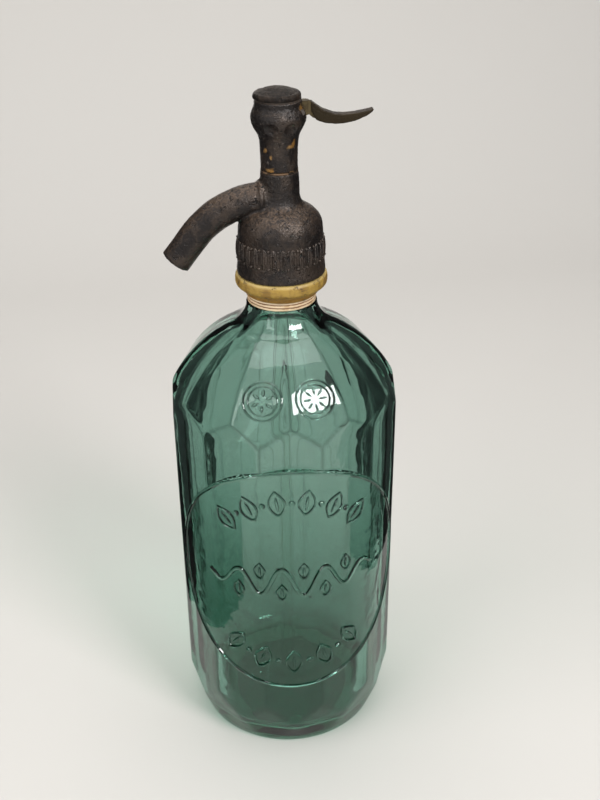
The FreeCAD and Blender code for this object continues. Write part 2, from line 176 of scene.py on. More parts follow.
def sweepTube(name, radius, endRadius, path, segments=48):
    # a round tube through path, whose points are (x, z, tilt in degrees), tapering to endRadius
    x, z, tilt = path[0]
    piece = addShape(
        bpy.ops.mesh.primitive_circle_add, name, vertices=segments, radius=radius * mm, fill_type="NGON",
        location=(x * mm, 0, z * mm), rotation=(0, radians(-90 - tilt), 0),
    )
    editAll()
    size = radius
    for step, (nextX, nextZ, nextTilt) in enumerate(path[1:], 1):
        nextSize = radius + (endRadius - radius) * step / (len(path) - 1)
        extrudeEdges(nextX - x, nextZ - z)
        centre = (nextX * mm, 0, nextZ * mm)
        turn = radians(nextTilt - tilt)
        if turn:
            bpy.ops.transform.rotate(value=turn, orient_axis="Y", center_override=centre)
        grow = nextSize / size
        bpy.ops.transform.resize(value=(grow, grow, grow), center_override=centre)
        x, z, tilt, size = nextX, nextZ, nextTilt, nextSize
    bpy.ops.mesh.edge_face_add()
    turnOutwards()
    return piece


def wrapRound(piece, radius, azimuth):
    # bends a flat piece, drawn in X and Z with its face towards -Y, round the upright axis
    turn = radians(azimuth)
    for vertex in piece.data.vertices:
        angle = turn + vertex.co.x / (radius * mm)
        reach = radius * mm - vertex.co.y
        vertex.co.x = reach * cos(angle)
        vertex.co.y = reach * sin(angle)


def joinPieces(name, pieces):
    clearSelection()
    for piece in pieces:
        piece.select_set(True)
    bpy.context.view_layer.objects.active = pieces[0]
    bpy.ops.object.join()
    whole = bpy.context.object
    whole.name = name
    return whole


def paint(piece, material):
    piece.data.materials.clear()
    piece.data.materials.append(material)


def dress(piece, body, slotName, replaced, material=None):
    paint(piece, material or slotMaterials[slotName])
    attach(piece, body)
    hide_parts(replaced)


# shader helpers

def newGroup(name, inputs, outputs):
    # inputs and outputs: socket names, those in vectorSockets being vectors and the rest values
    group = bpy.data.node_groups.new(name, "ShaderNodeTree")
    vectorSockets = ("Vector", "Normal")
    for sockets, side in ((inputs, "INPUT"), (outputs, "OUTPUT")):
        for socketName in sockets:
            kind = "NodeSocketVector" if socketName in vectorSockets else "NodeSocketFloat"
            group.interface.new_socket(socketName, in_out=side, socket_type=kind)
    return group, group.nodes.new("NodeGroupInput").outputs, group.nodes.new("NodeGroupOutput").inputs


def feed(tree, sockets, values):
    # values, by name or number of the socket: a number, a colour, or another node's socket
    for key, value in values.items():
        if isinstance(value, bpy.types.NodeSocket):
            tree.links.new(value, sockets[key])
        else:
            sockets[key].default_value = value


def addNode(tree, kind, inputs, **settings):
    node = tree.nodes.new("ShaderNode" + kind)
    for key, value in settings.items():
        setattr(node, key, value)
    feed(tree, node.inputs, inputs)
    return node


def noiseNode(tree, place, scale, detail, roughness=0.5, distortion=0.0):
    values = {"Vector": place, "Scale": scale, "Detail": detail}
    values.update({"Roughness": roughness, "Distortion": distortion})
    return addNode(tree, "TexNoise", values).outputs[0]


def rampNode(tree, factor, low, high):
    # 0 below low, 1 above high, softly between
    node = addNode(tree, "MapRange", {0: factor, 1: low, 2: high}, clamp=True)
    node.interpolation_type = "SMOOTHSTEP"
    return node.outputs[0]


def spreadNode(tree, factor, span, result):
    # span (from, to) becomes result (from, to), in a straight line
    values = {0: factor, 1: span[0], 2: span[1], 3: result[0], 4: result[1]}
    return addNode(tree, "MapRange", values).outputs[0]


def mixColour(tree, factor, first, second):
    return addNode(tree, "Mix", {0: factor, 6: first, 7: second}, data_type="RGBA").outputs[2]


def mathNode(tree, operation, first, second=0.0):
    return addNode(tree, "Math", {0: first, 1: second}, operation=operation).outputs[0]


def timesNode(tree, first, second):
    return mathNode(tree, "MULTIPLY", first, second)


def vectorNode(tree, operation, first, second=(0.0, 0.0, 0.0)):
    return addNode(tree, "VectorMath", {0: first, 1: second}, operation=operation).outputs


def bumpNode(tree, height, strength, distance):
    return addNode(tree, "Bump", {"Height": height, "Strength": strength, "Distance": distance}).outputs[0]


def heightOf(tree, place):
    return addNode(tree, "SeparateXYZ", {0: place}).outputs[2]


def placeGroup(tree, group, **values):
    node = addNode(tree, "Group", {}, node_tree=group)
    feed(tree, node.inputs, values)
    return node.outputs


def attributeNode(tree, name):
    return addNode(tree, "Attribute", {}, attribute_name=name).outputs["Fac"]


# shared effects

def makePatinaGroup():
    # mottled tarnish: large blotches, fine grain, pits, and the height of the last two
    group, start, end = newGroup(
        "patina", ("Vector", "Blotch", "GrainScale", "PitScale"), ("Blotches", "Grain", "Pits", "Height")
    )
    place = start["Vector"]
    blotch = noiseNode(group, place, start["Blotch"], 8.0, 0.62)
    grain = noiseNode(group, place, start["GrainScale"], 4.0, 0.6)
    pit = noiseNode(group, place, start["PitScale"], 2.0, 0.7, 0.6)
    pits = timesNode(group, rampNode(group, pit, 0.40, 0.31), rampNode(group, blotch, 0.40, 0.52))
    height = mathNode(group, "SUBTRACT", timesNode(group, grain, 0.9), pits)
    feed(group, end, {"Blotches": rampNode(group, blotch, 0.42, 0.62), "Grain": grain, "Pits": pits,
                      "Height": height})
    return group


def makeWearGroup():
    # bare metal on sharp edges, dirt in the hollows, and on faces that look up a patchy warm bloom that is also
    # a painted highlight from above
    group, start, end = newGroup("wear", ("Normal", "Grain"), ("Worn", "Hollow", "BloomAndTopLight"))
    curve = addNode(group, "NewGeometry", {}).outputs["Pointiness"]
    upward = rampNode(group, heightOf(group, start["Normal"]), 0.25, 0.85)
    bloom = timesNode(group, upward, rampNode(group, start["Grain"], 0.36, 0.62))
    feed(group, end, {"Worn": rampNode(group, curve, 0.515, 0.60), "Hollow": rampNode(group, curve, 0.49, 0.42),
                      "BloomAndTopLight": bloom})
    return group


def makeEdgeBandGroup():
    # a ragged band of another shade that starts at one height and is full at another
    group, start, end = newGroup("edgeBand", ("Vector", "Grain", "From", "To", "Share"), ("Band",))
    ragged = timesNode(group, mathNode(group, "ADD", start["Grain"], 0.35), start["Share"])
    rise = rampNode(group, heightOf(group, start["Vector"]), start["From"], start["To"])
    feed(group, end, {"Band": timesNode(group, rise, ragged)})
    return group


def makeStainGroup():
    # pits and flat lines that hold dirt
    group, start, end = newGroup("stains", ("Vector", "Pits"), ("Stains",))
    flat = addNode(group, "Mapping", {"Vector": start["Vector"], "Scale": (60.0, 60.0, 900.0)})
    lines = rampNode(group, noiseNode(group, flat.outputs[0], 3.0, 5.0), 0.60, 0.72)
    feed(group, end, {"Stains": mathNode(group, "MAXIMUM", start["Pits"], lines)})
    return group


def makePressedGlassGroup():
    # the slow waves and the smears of pressed glass
    group, start, end = newGroup("pressedGlass", ("Vector",), ("Roughness", "Normal"))
    smear = noiseNode(group, start["Vector"], 260.0, 6.0)
    wave = noiseNode(group, start["Vector"], 38.0, 3.0)
    feed(group, end, {"Roughness": spreadNode(group, smear, (0.45, 0.75), (0.015, 0.09)),
                      "Normal": bumpNode(group, wave, 0.35, 0.0016)})
    return group


patinaGroup = makePatinaGroup()
wearGroup = makeWearGroup()
edgeBandGroup = makeEdgeBandGroup()
stainGroup = makeStainGroup()
pressedGlassGroup = makePressedGlassGroup()

grainSpan = (0.3, 0.7)  # where the grain noise mostly lies


def newMaterial(name):
    material = bpy.data.materials.new(name)
    material.use_nodes = True
    tree = material.node_tree
    return material, tree, tree.nodes["Principled BSDF"], tree.nodes["Material Output"]


def coordinates(tree, kind="Object"):
    return addNode(tree, "TexCoord", {}).outputs[kind]


def startSurface(name, scales):
    # a material with the patina in it; scales are those of its blotches, grain and pits
    material, tree, shader, output = newMaterial(name)
    place = coordinates(tree)
    blotch, grain, pit = scales
    patina = placeGroup(tree, patinaGroup, Vector=place, Blotch=blotch, GrainScale=grain, PitScale=pit)
    return material, tree, shader, place, patina


def finishSurface(tree, shader, patina, values, height=None):
    # the roughness follows the patina's grain, the bump its height unless another is given
    rough = spreadNode(tree, patina["Grain"], grainSpan, values["roughness"])
    bump = bumpNode(tree, height or patina["Height"], *values["bump"])
    feed(tree, shader.inputs, {"Base Color": values["finished"], "Metallic": values["metallic"],
                               "Specular IOR Level": values["gloss"], "Roughness": rough, "Normal": bump})


agedMetalValues = {
    "base": (0.016, 0.0125, 0.0115, 1),
    "warm": (0.052, 0.037, 0.028, 1),
    "pale": (0.125, 0.102, 0.088, 1),
    "ochre": (0.30, 0.15, 0.035, 1),
    "ochrePale": (0.40, 0.28, 0.15, 1),
    "dirt": (0.007, 0.006, 0.0055, 1),
    # painted highlight: a paler warm colour for faces that look up, partly a real brown bloom
    "bloom": (0.120, 0.080, 0.054, 1),
    "bloomShare": 0.8,
    "wornShare": 0.6,
    "grainShare": 0.5,
    "grainRamp": (0.56, 0.74),
    "gloss": 0.6,
    "metallic": 0.5,
    "roughness": (0.44, 0.24),
    "scales": (95.0, 900.0, 500.0),
    "bump": (0.6, 0.0008),
    "crustScale": 420.0,
    "crustRagged": 3.4,
    "crustEdge": (1.15, 0.25),
}


def crustMask(tree, place, values):
    # crusts of old compound: ragged spots at (azimuth, height, radius, half width, half height)
    noise = noiseNode(tree, place, values["crustScale"], 5.0, 0.65)
    ragged = timesNode(tree, mathNode(tree, "SUBTRACT", noise, 0.5), values["crustRagged"])
    total = None
    for azimuth, height, radius, wide, tall in values["crusts"]:
        away = vectorNode(tree, "SUBTRACT", place, roundAxis(azimuth, radius, height))[0]
        away = vectorNode(tree, "MULTIPLY", away, (1 / (wide * mm), 1 / (wide * mm), 1 / (tall * mm)))[0]
        length = vectorNode(tree, "LENGTH", away)["Value"]
        part = rampNode(tree, mathNode(tree, "ADD", length, ragged), *values["crustEdge"])
        total = part if total is None else mathNode(tree, "MAXIMUM", total, part)
    return total


def makeAgedMetal(name, **changes):
    values = {**agedMetalValues, **changes}
    material, tree, shader, place, patina = startSurface(name, values["scales"])
    wear = placeGroup(tree, wearGroup, Normal=coordinates(tree, "Normal"), Grain=patina["Grain"])
    rubbed = rampNode(tree, patina["Grain"], *values["grainRamp"])
    layers = [
        (patina["Blotches"], 1.0, values["warm"]),
        (rubbed, values["grainShare"], values["pale"]),
        # painted highlight: faces that look up turn paler and warmer in patches, partly a real brown bloom
        (wear["BloomAndTopLight"], values["bloomShare"], values["bloom"]),
        (wear["Worn"], values["wornShare"], values["pale"]),
        (wear["Hollow"], 1.0, values["dirt"]),
        (patina["Pits"], 1.0, values["dirt"]),
    ]
    if "panel" in values:
        layers.append((attributeNode(tree, "panel"), values["panelShare"], values["panel"]))
    if "crusts" in values:
        shade = mixColour(tree, patina["Blotches"], values["ochre"], values["ochrePale"])
        layers.append((crustMask(tree, place, values), 1.0, shade))
    base = values["base"]
    for mask, share, shade in layers:
        base = mixColour(tree, timesNode(tree, mask, share), base, shade)
    finishSurface(tree, shader, patina, {**values, "finished": base})
    return material


glassValues = {
    "tint": (0.61, 0.735, 0.70, 1),
    # painted shade: the glass colour darkens towards the foot, between the tintHeights; the glass itself is no
    # darker there
    "paintedFootShade": (0.22, 0.37, 0.32, 1),
    # painted shade: the glass colour is darkened along the facets' creases and the sides of the relief
    "creaseShadeTint": (0.10, 0.16, 0.14, 1),
    "creaseShadeShare": 0.75,
    "tintHeights": (0.015, 0.185),
    "absorption": (0.50, 0.80, 0.70, 1),
    "density": 60.0,
    "shadow": (0.62, 0.72, 0.69, 1),
    "bending": 1.5,
}
tubeGlassValues = {
    "tint": (0.93, 0.97, 0.95, 1),
    "shadow": (0.9, 0.95, 0.93, 1),
    "bending": 1.1,  # weak, as for a tube that stands in water
}


def makeGlass(name, values):
    material, tree, shader, output = newMaterial(name)
    place = coordinates(tree)
    tint = values["tint"]
    if "paintedFootShade" in values:
        # painted shade: the glass colour darkens towards the foot
        rise = spreadNode(tree, heightOf(tree, place), values["tintHeights"], (0.0, 1.0))
        # painted shade: darker on the facets' creases and the relief's sides, by the crease attribute
        crease = timesNode(tree, attributeNode(tree, "crease"), values["creaseShadeShare"])
        tint = mixColour(tree, crease, mixColour(tree, rise, values["paintedFootShade"], tint), values["creaseShadeTint"])
    surface = placeGroup(tree, pressedGlassGroup, Vector=place)
    feed(tree, shader.inputs, {"Base Color": tint, "Transmission Weight": 1.0, "IOR": values["bending"],
                               "Roughness": surface["Roughness"], "Normal": surface["Normal"]})
    clear = addNode(tree, "BsdfTransparent", {"Color": values["shadow"]})
    path = addNode(tree, "LightPath", {})
    mix = addNode(tree, "MixShader",
                  {0: path.outputs["Is Shadow Ray"], 1: shader.outputs[0], 2: clear.outputs[0]})
    tree.links.new(mix.outputs[0], output.inputs["Surface"])
    if "density" in values:
        absorb = addNode(tree, "VolumeAbsorption",
                         {"Color": values["absorption"], "Density": values["density"]})
        tree.links.new(absorb.outputs[0], output.inputs["Volume"])
    return material


def makeFinish(name, colour, second, metallic, roughness, scale):
    # a plain finish with mottled colour, uneven gloss and a fine surface
    material, tree, shader, place, patina = startSurface(name, (scale, 900.0, 500.0))
    finishSurface(tree, shader, patina, {
        "finished": mixColour(tree, patina["Blotches"], colour, second), "metallic": metallic, "gloss": 0.5,
        "roughness": (roughness - 0.1, roughness + 0.12), "bump": (0.3, 0.0002),
    })
    return material


wornPaintValues = {
    "scales": (170.0, 700.0, 420.0),
    "darkShare": 0.75,
    "paleShare": 0.7,
    "stainShare": 0.7,
    "grooveWander": 0.6,
    "grooveEdge": (0.38, 0.12),
    "grooves": (),
    "metallic": 0.0,
    "gloss": 0.5,
    "roughness": (0.36, 0.62),
    "bump": (0.5, 0.0004),
}
collarPaint = {
    "colour": (0.37, 0.235, 0.045, 1), "second": (0.23, 0.13, 0.022, 1), "stain": (0.060, 0.034, 0.014, 1),
    "pale": (0.56, 0.42, 0.16, 1), "paleHeights": (245.2, 245.9),
    "dark": (0.33, 0.15, 0.018, 1), "darkHeights": (241.6, 239.4),
}
ringPaint = {
    "colour": (0.76, 0.60, 0.40, 1), "second": (0.62, 0.43, 0.24, 1), "stain": (0.22, 0.10, 0.04, 1),
    "pale": (0.80, 0.68, 0.50, 1), "paleHeights": (235.6, 236.2),
    "dark": (0.36, 0.19, 0.08, 1), "darkHeights": (233.2, 232.6), "grooves": (234.12, 235.55),
}


def makeWornPaint(name, changes):
    # a painted or plastic ring: two mottled shades, a darker band towards the bottom and a paler band at the
    # top, stains and fine lines
    values = {**wornPaintValues, **changes}
    material, tree, shader, place, patina = startSurface(name, values["scales"])
    base = mixColour(tree, patina["Blotches"], values["colour"], values["second"])
    for shade in ("dark", "pale"):
        low, high = inMetres(values[shade + "Heights"])
        band = placeGroup(tree, edgeBandGroup, Vector=place, Grain=patina["Grain"], From=low, To=high,
                          Share=values[shade + "Share"])
        base = mixColour(tree, band[0], base, values[shade])
    stains = placeGroup(tree, stainGroup, Vector=place, Pits=patina["Pits"])[0]
    base = mixColour(tree, timesNode(tree, stains, values["stainShare"]), base, values["stain"])
    for middle in values["grooves"]:
        centred = mathNode(tree, "SUBTRACT", patina["Grain"], 0.5)
        wander = timesNode(tree, centred, values["grooveWander"] * mm)
        along = mathNode(tree, "ADD", heightOf(tree, place), wander)
        away = mathNode(tree, "ABSOLUTE", mathNode(tree, "SUBTRACT", along, middle * mm))
        groove = rampNode(tree, away, *inMetres(values["grooveEdge"]))
        base = mixColour(tree, groove, base, values["stain"])
    height = mathNode(tree, "SUBTRACT", patina["Height"], timesNode(tree, stains, 0.5))
    finishSurface(tree, shader, patina, {**values, "finished": base}, height)
    return material


crustedMetal = makeAgedMetal("crustedMetal", crusts=[
    (-58, 304.6, 8.3, 2.0, 1.1), (-50, 305.8, 8.3, 1.2, 1.6), (-121, 300.4, 8.1, 0.9, 1.3),
    (-124, 294.3, 8.0, 2.3, 1.2), (-142, 303.1, 8.1, 1.4, 1.3), (-92, 293.5, 8.0, 3.0, 0.45),
    (-50, 293.6, 8.0, 2.6, 0.5), (-30, 320.4, 10.6, 1.8, 1.8), (40, 300.5, 8.1, 1.6, 1.2),
    (110, 294.2, 8.0, 3.2, 0.9), (165, 303.0, 8.2, 1.5, 1.8),
])
capMetal = makeAgedMetal(
    "capMetal", base=(0.011, 0.009, 0.008, 1), warm=(0.034, 0.024, 0.018, 1), pale=(0.045, 0.033, 0.027, 1),
    bloomShare=0.1, gloss=0.12, metallic=0.15,
)
darkSteel = makeAgedMetal("darkSteel", base=(0.05, 0.045, 0.04, 1))
slotMaterials = {
    "green_glass": makeGlass("greenGlass", glassValues),
    "clear_glass": makeGlass("clearGlass", tubeGlassValues),
    "aged_pewter": makeAgedMetal("agedMetal"),
    "dark_lever": makeAgedMetal(
        "darkLever", base=(0.012, 0.009, 0.007, 1), warm=(0.036, 0.026, 0.015, 1), pale=(0.06, 0.048, 0.036, 1),
        bloomShare=0.25, gloss=0.15, metallic=0.2, panel=(0.030, 0.021, 0.010, 1), panelShare=0.8,
    ),
    "old_brass": makeFinish("oldBrass", (0.13, 0.10, 0.05, 1), (0.055, 0.04, 0.024, 1), 0.8, 0.45, 300.0),
    "copper": makeFinish("copper", (0.21, 0.13, 0.075, 1), (0.016, 0.012, 0.010, 1), 0.5, 0.5, 260.0),
    "spring_steel": makeFinish("springSteel", (0.40, 0.40, 0.39, 1), (0.25, 0.24, 0.22, 1), 0.9, 0.35, 300.0),
    "yellow_collar": makeWornPaint("yellowCollar", collarPaint),
    "cream_ring": makeWornPaint("creamRing", ringPaint),
    "packing_leather": makeFinish(
        "packingLeather", (0.030, 0.022, 0.016, 1), (0.045, 0.030, 0.020, 1), 0.0, 0.7, 300.0
    ),
    "black_rubber": makeFinish("blackRubber", (0.03, 0.03, 0.03, 1), (0.05, 0.048, 0.045, 1), 0.0, 0.6, 300.0),
}
print("materials made:", len(slotMaterials))

solidPieces = {
    "wornNodes": ("lever_bar", "pivot_pin"),
    "edgeWidth": 0.25,
}

for entry in frame["record"]["subparts"]:
    paint(nodes[entry["node"]], slotMaterials[entry["material_slot"]])
paint(nodes["pivot_pin"], darkSteel)

for name in solidPieces["wornNodes"]:
    worn = nodes[name].modifiers.new("wornEdges", "BEVEL")
    worn.width = solidPieces["edgeWidth"] * mm
    worn.segments = 2
    worn.limit_method = "ANGLE"


# bottle: a fine turned grid whose points are moved to the radius of twelve panels, their heel
# and shoulder panels turned by half a pitch, and a round foot

bottle = {
    "panels": 12,
    "firstRib": 12.0,
    "ribRadius": 54.3,
    "heelTop": 30.0,
    "heelShape": (46.9, 0.19683, 0.001661),  # radius at the foot, slope, curve
    "insideStart": 0.15,
    "insideSlope": 0.28,
    "shoulderLow": 183.0,
    "shoulderCentre": (-6.05, 165.8),
    "shoulderArc": 62.9,
    "shoulderTop": 221.84,
    "flareCentre": (27.95, 232.53),
    "flareArc": 12.0,
    "neckFade": 10.0,
    "neckGrow": 1.015,
    "edgeRound": 1.1,
    "ribRound": 1.0,
    "footRound": 0.6,
    "halfPitchSteps": [0, 0.5, 1.1, 1.8, 2.8, 4.2, 6.0, 8.0, 10.0, 11.8, 13.1, 14.1],
    "heights": (
        [0.05, 0.3, 0.9, 1.8, 3.0, 4.5, 6.0, 8.0, 10.0, 12.0]
        + [13.0 + 0.9 * step for step in range(22)]
        + [35.0, 45.0, 60.0, 80.0, 100.0, 120.0, 140.0, 160.0, 172.0, 178.0]
        + [180.5 + 0.8 * step for step in range(23)]
        + [200.0 + 2.0 * step for step in range(11)]
        + [220.7, 221.2, 221.7, 222.6, 223.8, 225.0, 226.5, 228.0, 229.5, 231.0, 232.0]
    ),
    "dish": [
        (3.0, 2.4), (12.0, 2.05), (22.0, 1.2), (30.0, 0.15), (32.0, 0.0), (42.0, 0.0),
    ],
    "sideRadius": 50.0,  # of the grid before its points are moved
    "neck": [
        (15.6, 232.55), (13.0, 232.6), (13.0, 249.4), (13.3, 249.5), (15.0, 249.5), (15.4, 249.7),
        (15.5, 250.2), (15.5, 254.2), (15.3, 255.1), (14.8, 255.7), (13.8, 256.0),
    ],
    "creaseWidth": 1.0,
    "creaseTolerance": 0.15,
    "creaseMargin": 6.0,
    "seamHeight": 221.2,
    "seamHalf": 0.5,
    "seamProud": 0.22,
    "smoothAngle": 32,
}
foot = {
    "toe": (0.9, 44.2, 2.1, 0.15),  # top, radius, rise, ease
    "side": (3.0, 46.0, 1.2),  # top, radius, rise
    "flare": (47.2, 9.8, 27.0),  # radius, widening, over a height
}
halfPitch = 180.0 / bottle["panels"]


def softMin(first, second, blend):
    share = max(blend - abs(first - second), 0.0) / blend
    return min(first, second) - share * share * blend / 4


def overCos(value, angle):
    return value / cos(radians(angle))


def panelReach(z):
    # distance from the axis to the flat of a heel or shoulder panel
    centreX, centreZ = bottle["shoulderCentre"]
    if z <= bottle["heelTop"]:
        start, slope, curve = bottle["heelShape"]
        return start + slope * z + curve * z * z
    if z < bottle["shoulderLow"]:
        inside = min(z - bottle["heelTop"], bottle["shoulderLow"] - z)
        return bottle["ribRadius"] + bottle["insideStart"] + bottle["insideSlope"] * inside
    if z <= bottle["shoulderTop"]:
        return centreX + sqrt(bottle["shoulderArc"] ** 2 - (z - centreZ) ** 2)
    flareX, flareZ = bottle["flareCentre"]
    return flareX - sqrt(max(bottle["flareArc"] ** 2 - (flareZ - z) ** 2, 0.0))


def footReach(z):
    # the round foot, which widens past the panels' corners
    toeTop, radius, rise, ease = foot["toe"]
    if z < toeTop:
        return radius + rise * sqrt(max(z, 0.0) / toeTop) * (1 - ease * z)
    sideTop, radius, rise = foot["side"]
    if z < sideTop:
        return radius + rise * sin((z - toeTop) / (sideTop - toeTop) * pi / 2)
    radius, widening, height = foot["flare"]
    return radius + (z - sideTop) * widening / height


def bottleReach(offset, z):
    # offset: degrees from a body rib, up to a whole pitch
    flat = bottle["ribRadius"] * cos(radians(halfPitch))
    nextPanel = min(offset + halfPitch, abs(offset - 3 * halfPitch))
    prism = softMin(overCos(flat, offset - halfPitch), overCos(flat, nextPanel), bottle["ribRound"])
    reach = panelReach(z)
    corner = softMin(overCos(reach, offset), overCos(reach, 2 * halfPitch - offset), bottle["ribRound"])
    if z > bottle["shoulderTop"]:
        fade = min((z - bottle["shoulderTop"]) / bottle["neckFade"], 1.0)
        corner = corner * (1 - fade) + reach * bottle["neckGrow"] * fade
    whole = softMin(prism, corner, bottle["edgeRound"])
    if z < bottle["heelTop"]:
        whole = softMin(whole, footReach(z), bottle["footRound"])
    seam = max(0.0, 1 - abs(z - bottle["seamHeight"]) / bottle["seamHalf"])
    return whole + bottle["seamProud"] * seam


def edgeShare(offset, z):
    # 1 on a crease between two facets, falling to 0 beside it
    reach = panelReach(z)
    flat = bottle["ribRadius"] * cos(radians(halfPitch))
    toRib = min(offset, 2 * halfPitch - offset)
    prism = overCos(flat, offset - halfPitch)
    corner = overCos(reach, toRib)
    lines = [abs(prism - corner) * 1.6]
    if prism < corner:
        lines.append(radians(toRib) * prism)
    else:
        lines.append(radians(abs(offset - halfPitch)) * corner)
    if z < bottle["heelTop"] and footReach(z) < min(prism, corner) + 1.0:
        lines = [abs(footReach(z) - min(prism, corner)) * 2.0]
    return max(0.0, 1.0 - min(lines) / bottle["creaseWidth"])


def onMedallion(point):
    # point: metres; true inside the medallion's edge, measured round the skin
    turn = atan2(point.y, point.x) - radians(relief["medallionAzimuth"])
    across = atan2(sin(turn), cos(turn)) * relief["skin"]
    return hypot(across, point.z / mm - relief["medallionHeight"]) < relief["medallionRadius"]


def markPaintedCreaseShade(piece):
    # an attribute for the glass's painted shade: 1 on the facets' creases and on the sides of the relief, where
    # the glass colour is darkened
    attribute = piece.data.attributes.new("crease", "FLOAT", "POINT")
    low, high = bottle["heights"][2], bottle["shoulderTop"] + bottle["creaseMargin"]
    for vertex in piece.data.vertices:
        z = vertex.co.z / mm
        if not low < z < high:
            continue
        offset = (degrees(atan2(vertex.co.y, vertex.co.x)) - bottle["firstRib"]) % (2 * halfPitch)
        raised = onMedallion(vertex.co)
        surface = max(bottleReach(offset, z), relief["skin"] if raised else 0.0)
        proud = hypot(vertex.co.x, vertex.co.y) / mm - surface
        if abs(proud) < bottle["creaseTolerance"]:
            attribute.data[vertex.index].value = 0.0 if raised else edgeShare(offset, z)
        # painted shade round the sides of the raised relief
        elif bottle["creaseTolerance"] <= proud < relief["darkSide"]:
            attribute.data[vertex.index].value = 1.0


def makeBottleShell():
    steps = bottle["halfPitchSteps"]
    offsets = steps + [halfPitch] + [2 * halfPitch - value for value in reversed(steps[1:])]
    segments = len(offsets) * bottle["panels"]
    first = radians(bottle["firstRib"])
    side = [(bottle["sideRadius"], z) for z in bottle["heights"]]
    piece = stackRings("bottleShell", bottle["dish"] + side + bottle["neck"], segments, first)
    low, high = bottle["heights"][0] - 0.01, bottle["heights"][-1] + 0.01
    for vertex in piece.data.vertices:
        radius = hypot(vertex.co.x, vertex.co.y) / mm
        z = vertex.co.z / mm
        if radius < 0.1:
            continue
        angle = degrees(atan2(vertex.co.y, vertex.co.x)) - bottle["firstRib"]
        index = round(angle * segments / 360) % segments
        panel, place = divmod(index, len(offsets))
        if low < z < high and abs(radius - bottle["sideRadius"]) < 0.5:
            radius = bottleReach(offsets[place], z)
        turn = first + radians(panel * 2 * halfPitch + offsets[place])
        vertex.co.x = radius * mm * cos(turn)
        vertex.co.y = radius * mm * sin(turn)
    return piece


# relief on the glass: a smooth medallion with a rim and plain ornament, and two round emblems

relief = {
    "medallionAzimuth": -93.0,
    "medallionRadius": 63.8,
    "medallionHeight": 109.5,
    "medallionDepth": 3.6,
    "columns": 72,
    "skin": 54.7,
    "rimRadius": 62.7,
    "rimThick": 0.9,
    "darkSide": 0.78,
    "leafArcs": ((-42, 42, 11), (142, 218, 9)),  # from, to, count
    "leafArcRadius": 47.0,
    "leafSize": (7.6, 12.6),
    "leafLine": 0.9,
    "bead": (3.0, 1.5),
    "waveHalf": 42.0,
    "waveSwing": 8.0,
    "waveTurns": 4,
    "waveMiddle": 2.0,
    "wavePoints": 96,
    "waveRadius": 1.1,
    "waveLeafSize": (5.0, 8.4),
    "waveLeafShift": 6.0,
    "emblems": ((-108.0, 6), (-78.0, 8)),  # azimuth, petals
    "emblemHeight": 203.0,
    "emblemRadius": 8.7,
    "emblemInner": 6.6,
    "emblemLines": (0.55, 0.44),
    "petalReach": 3.6,
    "petal": (9.6, 3.4, 0.7),  # width of all together, height, how proud
}


def addRing(radius, thick, spread=1.0, segments=96):
    # a ring lying in the X and Z plane, drawn out along X by spread
    return addShape(
        bpy.ops.mesh.primitive_torus_add, "ring", (spread, 1, 1), major_segments=segments, minor_segments=8,
        major_radius=radius * mm, minor_radius=thick * mm, rotation=(pi / 2, 0, 0),
    )


def setInPlane(piece, place, tilt):
    piece.rotation_euler = (0, radians(tilt), 0)
    piece.location = (place[0] * mm, 0, place[1] * mm)
    placeInMesh(piece)
    return piece


def addPetal(wide, tall, proud, place=(0.0, 0.0), tilt=0.0):
    # a smooth raised leaf: a stretched ball in the X and Z plane
    petal = addShape(bpy.ops.mesh.primitive_uv_sphere_add, "petal", (wide / 2, proud, tall / 2), segments=20,
                     ring_count=10, radius=mm)
    return setInPlane(petal, place, tilt)


def addLeaf(wide, tall, place, tilt=0.0):
    # a raised leaf outline with a rib along its middle
    line = relief["leafLine"]
    outline = addRing(tall / 2, line, wide / tall, segments=40)
    for vertex in outline.data.vertices:
        vertex.co.x *= 1.0 - 0.5 * (vertex.co.z / (tall / 2 * mm)) ** 2
    leaf = joinPieces("leaf", [outline, addPetal(line * 1.7, tall * 0.62, line)])
    return setInPlane(leaf, place, tilt)


def medallionPatch():
    # a round plate cut from columns, so that it can bend round the bottle
    upright, radius = (pi / 2, 0, 0), relief["medallionRadius"]
    piece = addShape(bpy.ops.mesh.primitive_grid_add, "medallion", x_subdivisions=relief["columns"],
                     y_subdivisions=1, size=(2 * radius + 2) * mm, rotation=upright)
    thicken(relief["medallionDepth"])
    edge = addShape(bpy.ops.mesh.primitive_cylinder_add, "medallionEdge", vertices=128, radius=radius * mm,
                    depth=20 * mm, rotation=upright)
    combine(piece, edge, "INTERSECT")
    return piece


def medallionOrnament():
    # the rim, an arc of leaves and beads above and below, and a wave with small leaves in its hollows
    pieces = [addRing(relief["rimRadius"], relief["rimThick"], segments=160)]
    reach = relief["leafArcRadius"]
    beadWide, beadProud = relief["bead"]
    for start, finish, count in relief["leafArcs"]:
        for index in range(count):
            turn = start + (finish - start) * index / (count - 1)
            angle = radians(turn)
            place = (reach * sin(angle), reach * cos(angle))
            if index % 2:
                pieces.append(addPetal(beadWide, beadWide, beadProud, place, turn))
            else:
                pieces.append(addLeaf(*relief["leafSize"], place, turn))
    wave = []
    half, middle, turns = relief["waveHalf"], relief["waveMiddle"], relief["waveTurns"]
    for step in range(relief["wavePoints"] + 1):
        share = step / relief["wavePoints"]
        swing = relief["waveSwing"] * sin(pi * share) ** 0.5
        phase = 2 * pi * turns * share
        slope = swing * cos(phase) * 2 * pi * turns / (2 * half)
        wave.append((half - 2 * half * share, swing * sin(phase) + middle, -degrees(atan(slope))))
    pieces.append(sweepTube("wave", relief["waveRadius"], relief["waveRadius"], wave, 10))
    hollows = 2 * turns
    for index in range(1, hollows - 1):
        shift = relief["waveLeafShift"] * (1 if index % 2 else -1)
        place = (half - 2 * half * (index + 0.5) / hollows, shift + middle)
        pieces.append(addLeaf(*relief["waveLeafSize"], place))
    return pieces


